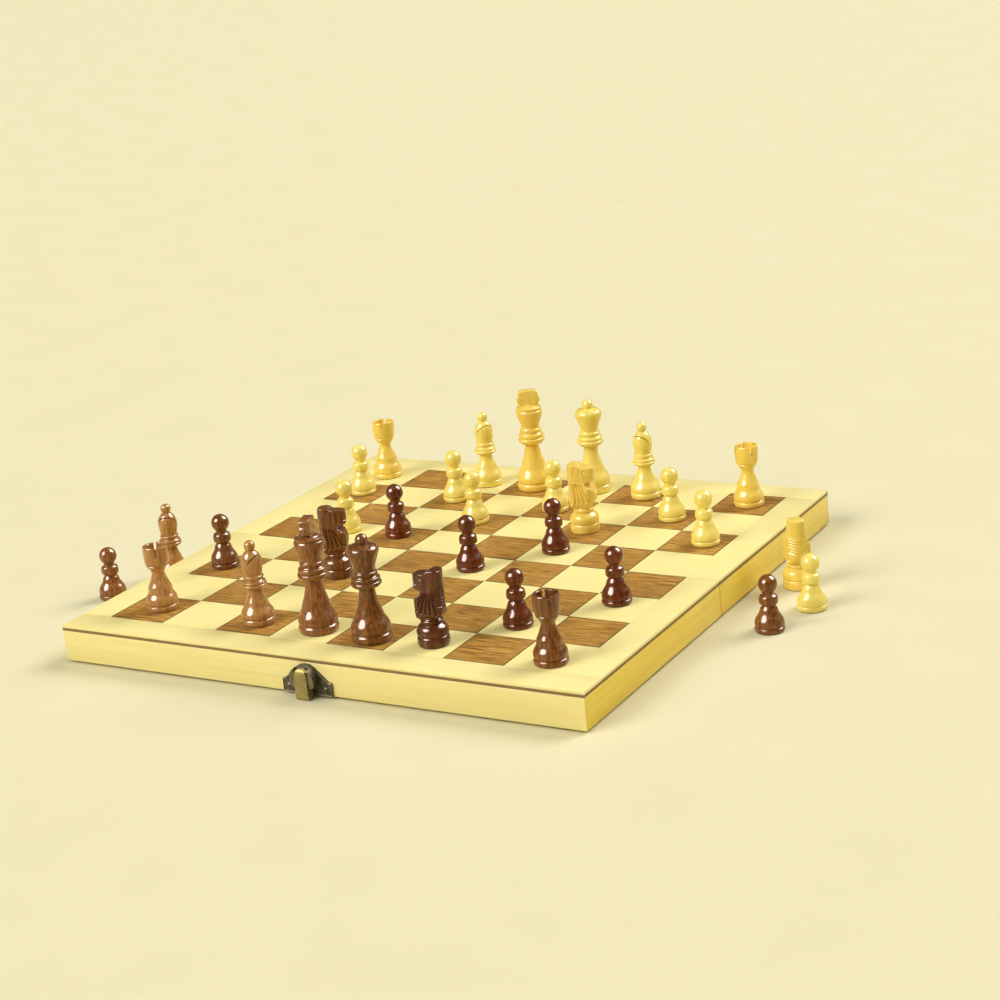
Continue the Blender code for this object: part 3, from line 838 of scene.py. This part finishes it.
def make_half(name, outer_rail, mats):
    """Walls, panel, inlaid veneer and felt of one tray."""
    body = f"{name}_half"
    side = -1 if name == "front" else 1
    out_low, out_high = corners(f"{name}_{outer_rail}")
    in_low, in_high = corners(f"{name}_hinge_rail")
    panel_low, panel_high = corners(f"{name}_panel")
    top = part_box(f"{name}_veneer")[1].z / MM
    wall_top = panel_low.z + PANEL_UP
    panel_top = panel_high.z - VENEER_DOWN
    rim = out_low.z

    def wall(node, plan, mat):
        """A wall from its plan, whose corners are x and the distance from the fold."""
        up = (0, 0, wall_top - rim)
        board = prism(f"{node}_board", plan, lambda x, y: (x, side * y, rim), up)
        return round_edges(board, 0.2, 3), node, mat

    outer = max(abs(out_low.y), abs(out_high.y))
    inner = min(abs(out_low.y), abs(out_high.y))
    fold = min(abs(in_low.y), abs(in_high.y))
    rail = max(abs(in_low.y), abs(in_high.y))
    at_fold = [(-inner, fold), (inner, fold), (inner, rail), (-inner, rail)]
    mitred = [(-outer, outer), (outer, outer), (inner, inner), (-inner, inner)]
    planks = [wall(f"{name}_hinge_rail", at_fold, "maple_x"),
              wall(f"{name}_{outer_rail}", mitred, "maple_x")]
    for end, way in (("left_end", -1), ("right_end", 1)):
        plan = [(way * outer, fold), (way * outer, outer), (way * inner, inner),
                (way * inner, fold)]
        planks.append(wall(f"{name}_{end}", plan, "maple_y"))
    for centre in (-HINGE_X, HINGE_X):
        reach = LEAF_L / 2 + GAP
        y_low, y_high = sorted((side * -1.0, side * MORTISE_DEPTH))
        low, high = (centre - reach, y_low, -1), (centre + reach, y_high, MORTISE_TOP)
        carve(planks[0][0], block("mortise", low, high))
    for plank, node, mat in planks:
        finish_piece(plank, [mats[mat]], body, [node])

    low, high = panel_low.copy(), panel_high.copy()
    low.z, high.z = wall_top, panel_top
    panel = block(f"{name}_panel_board", low, high, 0.10)
    finish_piece(panel, [mats["hardboard"]], body, [f"{name}_panel"])
    make_veneer(name, side, panel_low, panel_high, panel_top, top, mats)
    make_felt(name, wall_top, mats)


def make_veneer(name, side, low, high, z_low, z_high, mats):
    """Inlaid squares and the pale border of one half, each a sheet of its own."""
    body = f"{name}_half"
    field = 4 * SQUARE
    near_fold, outer = sorted((low.y, high.y), key=abs)
    groups = {"pale": bmesh.new(), "walnut": bmesh.new()}
    for file in range(8):
        for rank in range(4):
            x_low = (file - 4) * SQUARE
            y_near = side * max(rank * SQUARE, abs(near_fold))
            y_far = side * (rank + 1) * SQUARE
            y_low, y_high = sorted((y_near, y_far))
            rank_from_front = rank + 4 if side > 0 else 3 - rank
            wood_name = "walnut" if (file + rank_from_front) % 2 == 0 else "pale"
            add_block(groups[wood_name], (x_low + SEAM, y_low + SEAM, z_low),
                      (x_low + SQUARE - SEAM, y_high - SEAM, z_high), 0.05, 1)
    border = bmesh.new()
    y_low, y_high = sorted((side * (field + SEAM), outer))
    add_block(border, (low.x, y_low, z_low), (high.x, y_high, z_high), 0.10, 2)
    for x_low, x_high in ((low.x, -field - SEAM), (field + SEAM, high.x)):
        y_low, y_high = sorted((near_fold, side * (field - SEAM)))
        add_block(border, (x_low, y_low, z_low), (x_high, y_high, z_high), 0.10, 2)
    for label, bm, mat, nodes in (("border", border, "pale", [f"{name}_veneer"]),
                                  ("pale_squares", groups["pale"], "pale", []),
                                  ("dark_squares", groups["walnut"], "walnut", [])):
        finish_piece(new_solid(f"{name}_{label}", bm), [mats[mat]], body, nodes)


def make_felt(name, z_high, mats):
    """The liner glued under the panel: a soft sheet with an uneven, napped underside."""
    low, high = corners(f"{name}_felt")
    steps_x, steps_y = 126, 60
    swell, nap = 0.10, 0.05
    above_cad = 0.12                # mean height of the underside over the CAD's
    dice = random.Random(7)
    bm = bmesh.new()
    layers = []
    for z in (low.z, z_high):
        grid = []
        for i in range(steps_x + 1):
            row = []
            for j in range(steps_y + 1):
                x = low.x + (high.x - low.x) * i / steps_x
                y = low.y + (high.y - low.y) * j / steps_y
                wave = swell * math.sin(x * 0.21) * math.sin(y * 0.17)
                lift = above_cad + wave + dice.uniform(-nap, nap)
                row.append(bm.verts.new((x, y, z + (lift if z == low.z else 0.0))))
            grid.append(row)
        layers.append(grid)
    under, over = layers
    for grid in layers:
        for i in range(steps_x):
            for j in range(steps_y):
                bm.faces.new([grid[i][j], grid[i + 1][j], grid[i + 1][j + 1], grid[i][j + 1]])
    rim = [(i, 0) for i in range(steps_x)] + [(steps_x, j) for j in range(steps_y)]
    rim += [(i, steps_y) for i in range(steps_x, 0, -1)] + [(0, j) for j in range(steps_y, 0, -1)]
    for (i, j), (k, m) in zip(rim, rim[1:] + rim[:1]):
        bm.faces.new([under[i][j], under[k][m], over[k][m], over[i][j]])
    obj = finish_piece(new_solid(f"{name}_felt_liner", bm), [mats["felt"]], f"{name}_half",
                       [f"{name}_felt"], sharp=60.0)


# ---- hardware

def give(node, mat):
    """Another material for a CAD node that keeps its shape."""
    node.data.materials.clear()
    node.data.materials.append(mat)


def nail_head(bm, radius, place):
    """A domed head on a short shank; +Z of its place points out of the surface."""
    dome = arc(0.0, -radius * 0.55, radius * 1.14, 29, 90, 6)[:-1]
    profile = [(0.0, -0.35), (radius * 0.8, -0.35), (radius, -0.12), (radius, 0.0)]
    profile += [(r, z) for r, z in dome if z > 0.005] + [(0.0, radius * 0.59)]
    lathe(bm, profile, 20, place)


def facing(x, y, z, side):
    """A place whose +Z points to the front (side -1) or to the back (side 1)."""
    return Matrix.Translation((x, y, z)) @ Matrix.Rotation(-side * math.pi / 2, 4, "X")


def plate_outline(low, crown_r):
    """A hexagonal plate: straight sides, small notched shoulders, round crown."""
    half, shoulder = PLATE_HALF_W, PLATE_SHOULDER_Z
    right = [(half, low), (half, shoulder), (half - 0.9, shoulder + 0.3),
             (half - 1.4, shoulder + 0.1)]
    crown = arc(0, PLATE_TOP_Z - crown_r, crown_r, 50, 130, 16)
    return right + crown + [(-x, z) for x, z in reversed(right)]


def stamped_plate(name, side, y_wall, thick, outline):
    """A plate on a wall with a softened rim and a field pressed in from its border."""
    border, slope, rim_drop = 0.30, 0.35, 0.18
    bm = extruded(outline, lambda x, z: (x, y_wall, z), (0, side * thick, 0))
    bmesh.ops.recalc_face_normals(bm, faces=bm.faces)
    front = max(bm.faces, key=lambda f: side * f.calc_center_median().y)
    bmesh.ops.inset_region(bm, faces=[front], thickness=border, depth=0.0)
    bmesh.ops.inset_region(bm, faces=[front], thickness=slope, depth=-FIELD_DEPTH)
    rim = [v for v in bm.verts if abs(v.co.y - (y_wall + side * thick)) < 1e-4
           and any(abs(f.normal.y) < 0.5 for f in v.link_faces)]
    for vert in rim:
        vert.co.y -= side * rim_drop
    return new_solid(name, bm)


def make_latch(mats):
    """The plate with its hood, the lever, the nails and the pin's brass."""
    low_z = corners("latch_plate")[0].z
    wall_y = corners("front_latch_rail")[0].y
    face = wall_y - GAP - PLATE_T
    pivot_y = face - PIVOT_OUT
    outline = plate_outline(low_z, 6.8)
    plate = stamped_plate("latch_plate_stamped", -1, wall_y + PLATE_SINK, wall_y - face, outline)
    carve(plate, latch_hood(face, pivot_y), "UNION")
    finish_piece(plate, [mats["bronze"]], "front_half", ["latch_plate"])
    finish_piece(latch_lever(pivot_y), [mats["lever"]], "lever", ["latch_lever"])
    make_nails("latch_nails", -1, face, low_z, "front_half", mats)
    give(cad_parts["latch_pin"], mats["brass"])


def latch_hood(face, pivot_y):
    """The arch that holds the pin, with room in it for the lever's swing."""
    inner, outer, arch_z = 3.62, 6.2, 9.1
    outer_foot, inner_foot = (outer, 6.2), (inner, 5.6)
    back, front = face + 0.4, pivot_y - 1.45
    hood = arc(0, arch_z, outer, 0, 180, 24) + [(-x, z) for x, z in (outer_foot, inner_foot)]
    hood += arc(0, arch_z, inner, 180, 0, 24) + [inner_foot, outer_foot]
    arch = prism("hood", hood, lambda x, z: (x, back, z), (0, front - back, 0))
    reach = LEVER_W / 2 + GAP
    carve(arch, block("sweep", (-reach, pivot_y - 5, 8.0), (reach, pivot_y + 0.45, 16.0)))
    return round_edges(arch, 0.3, 3, 40.0)


def latch_lever(pivot_y):
    """A hollow pressed lever with a round crown and a lip at its lower end."""
    half = LEVER_W / 2
    crown_z, crown_rise = 9.8, 4.7
    lip_t, lip_reach, flare = 0.6, 2.6, 0.35
    back, front = pivot_y + LEVER_R, pivot_y - LEVER_R
    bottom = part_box("latch_lever")[0].z / MM
    side_view = [(back, bottom)]
    side_view += [(pivot_y + a, b) for a, b in arc(0, PIVOT_Z, LEVER_R, 0, 180, 24)]
    side_view += [(front, bottom + 0.5), (front + flare, bottom)]
    lever = prism("latch_lever_pressed", side_view, lambda y, z: (-half, y, z), (LEVER_W, 0, 0))
    crown = [(half * x, crown_z + crown_rise * z) for x, z in arc(0, 0, 1, 0, 180, 24)]
    crown = [(half, bottom - 1)] + crown + [(-half, bottom - 1)]
    carve(lever, prism("crown", crown, lambda x, z: (x, pivot_y - 3, z), (0, 6, 0)), "INTERSECT")
    hollow = half - SHEET
    lip_top = bottom + lip_t
    deepest = (hollow, back + 1, PIVOT_Z - LEVER_R)
    carve(lever, block("hollow", (-hollow, front + SHEET, lip_top), deepest))
    past_lip = (hollow, back + 1, lip_top + 1)
    carve(lever, block("lip", (-hollow, front + lip_reach, -1), past_lip))
    return round_edges(lever, 0.22, 2, 40.0)


def make_nails(name, side, face, plate_low, body, mats):
    """Two nails whose heads stand in the pressed field of a plate."""
    bm = bmesh.new()
    for x in (-NAIL_X, NAIL_X):
        nail_head(bm, NAIL_R, facing(x, face - side * FIELD_DEPTH, plate_low + NAIL_UP, side))
    finish_piece(new_solid(name, bm), [mats["bronze"]], body)


def make_catch(mats):
    """The plate, the hook under it and the nails."""
    wall_y = corners("back_catch_rail")[1].y
    face = wall_y + GAP + PLATE_T
    outline = plate_outline(CATCH_LOW_Z, 3.0)
    plate = stamped_plate("catch_plate_stamped", 1, wall_y - PLATE_SINK, face - wall_y, outline)
    tab_t, hook_out, hook_half_w = 1.25, 1.3, 1.6
    hook_low, hook_top, root_low, root_top = 0.35, 0.95, 1.5, 2.9
    root, tab_back = face - 0.5, face + GAP
    tab_front = tab_back + tab_t
    tip = tab_front + hook_out
    outline = [(tab_back, hook_low), (tip, hook_low), (tip, hook_top), (tab_front, hook_top),
               (tab_front, root_top), (root, root_top), (root, root_low), (tab_back, root_low)]
    hook = prism("hook", outline, lambda y, z: (-hook_half_w, y, z), (2 * hook_half_w, 0, 0))
    round_edges(hook, 0.15, 2, 40.0)
    carve(plate, hook, "UNION")
    finish_piece(plate, [mats["bronze"]], "back_half", ["catch_plate"])
    make_nails("catch_nails", 1, face, CATCH_LOW_Z, "back_half", mats)


def make_hinges(mats):
    """Brass for the CAD hinges, which keep their own shape, and a pair of screws in each leaf."""
    half_slot, head_t, slot_floor = 0.16, 0.12, 0.02
    screw = [(0.0, -0.5), (0.9, -0.5), (SCREW_R, 0.0), (SCREW_R, head_t / 2),
             (SCREW_R - 0.15, head_t), (0.0, head_t)]
    for label, centre in (("left", -HINGE_X), ("right", HINGE_X)):
        for half, side in (("front", -1), ("back", 1)):
            node = f"hinge_{label}_{half}_leaf"
            give(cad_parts[node], mats["brass"])
            bm = bmesh.new()
            for x in (centre - SCREW_X, centre + SCREW_X):
                lathe(bm, screw, 28, facing(x, side * GAP, SCREW_Z, -side))
            screws = new_solid(f"{node}_screws", bm)
            y_low, y_high = sorted((side * (GAP - slot_floor), -side * 0.32))
            for x in (centre - SCREW_X, centre + SCREW_X):
                low = (x - SCREW_R, y_low, SCREW_Z - half_slot)
                high = (x + SCREW_R, y_high, SCREW_Z + half_slot)
                carve(screws, block("driver_slot", low, high))
            finish_piece(screws, [mats["screw"]], f"{half}_half")
        give(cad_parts[f"hinge_{label}_pin"], mats["brass"])


# ---- light and camera

def sun_light(name, way, spread, power, colour, diffuse=True, glossy=True):
    """A far light of a given spread in degrees; way points from the board to it."""
    data = bpy.data.lights.new(name, "SUN")
    data.energy = power
    data.angle = math.radians(spread)
    data.color = colour
    lamp = bpy.data.objects.new(name, data)
    lamp.rotation_mode = "QUATERNION"
    lamp.rotation_quaternion = Vector(way).to_track_quat("Z", "Y")
    lamp.visible_diffuse = diffuse
    lamp.visible_glossy = glossy
    bpy.context.scene.collection.objects.link(lamp)


def make_floor():
    """A wide pale floor, a hair below the board's lowest point."""
    g = Graph("pale_floor")
    cloud = g.noise((0.02, 0.02, 0.02), detail=3.0)
    colour = g.mix(g.ramp(cloud, 0.3, 0.7), srgb(223, 217, 179), srgb(221, 215, 176))
    g.shade(base_color=colour, roughness=0.9, specular_ior_level=0.2)
    bm = bmesh.new()
    bmesh.ops.create_grid(bm, x_segments=1, y_segments=1, size=80.0)    # metres
    mesh = bpy.data.meshes.new("floor")
    bm.to_mesh(mesh)
    bm.free()
    mesh.materials.append(g.material)
    floor = bpy.data.objects.new("floor", mesh)
    floor.location.z = -0.00005
    bpy.context.scene.collection.objects.link(floor)


def make_light():
    """A soft sky, two softboxes with brighter cores for the gloss, and a pale backdrop."""
    world = bpy.data.worlds.new("studio")
    world.use_nodes = True
    background = world.node_tree.nodes["Background"]
    background.inputs["Color"].default_value = (1.0, 0.96, 0.88, 1.0)
    background.inputs["Strength"].default_value = 0.08
    nodes, links = world.node_tree.nodes, world.node_tree.links
    backdrop = nodes.new("ShaderNodeBackground")
    backdrop.inputs["Color"].default_value = srgb(249, 243, 204)
    path = nodes.new("ShaderNodeLightPath")
    mix = nodes.new("ShaderNodeMixShader")
    links.new(path.outputs["Is Camera Ray"], mix.inputs[0])
    links.new(background.outputs[0], mix.inputs[1])
    links.new(backdrop.outputs[0], mix.inputs[2])
    links.new(mix.outputs[0], nodes["World Output"].inputs["Surface"])
    bpy.context.scene.world = world
    sun_light("soft_sky", (0.1, -0.2, 1.0), 110, 1.05, (1.0, 0.98, 0.93), glossy=False)
    for name, way, power in (("left", (-0.436, -0.668, 0.601), 1.95),
                             ("right", (0.40, 0.58, 0.70), 1.85)):
        sun_light(f"{name}_softbox", way, 34, power, (1.0, 0.965, 0.91))
        sun_light(f"{name}_core", way, 38, 7.5, (1.0, 0.89, 0.76), diffuse=False)


def make_camera():
    """Looks down on the board from its front right, with the horizon tipped."""
    azimuth, elevation, roll = (math.radians(a) for a in (30.6, 17.5, -5.3))
    target = Vector((-23.0, 79.8, 18.0)) * MM
    distance = 1.1315
    level = math.cos(elevation)
    back = Vector((math.sin(azimuth) * level, -math.cos(azimuth) * level, math.sin(elevation)))
    data = bpy.data.cameras.new("camera")
    data.lens = 80.0
    data.sensor_width = 36.0
    data.clip_start = 0.05
    camera = bpy.data.objects.new("camera", data)
    look = (-back).to_track_quat("-Z", "Y").to_matrix().to_4x4()
    place = Matrix.Translation(target + back * distance)
    camera.matrix_world = place @ look @ Matrix.Rotation(roll, 4, "Z")
    bpy.context.scene.collection.objects.link(camera)
    bpy.context.scene.camera = camera


def main():
    mats = make_materials()
    make_half("front", "latch_rail", mats)
    make_half("back", "catch_rail", mats)
    make_hinges(mats)
    make_latch(mats)
    make_catch(mats)
    make_chess_pieces(mats)
    make_floor()
    make_light()
    make_camera()
    bpy.context.scene.view_settings.view_transform = "Standard"


main()
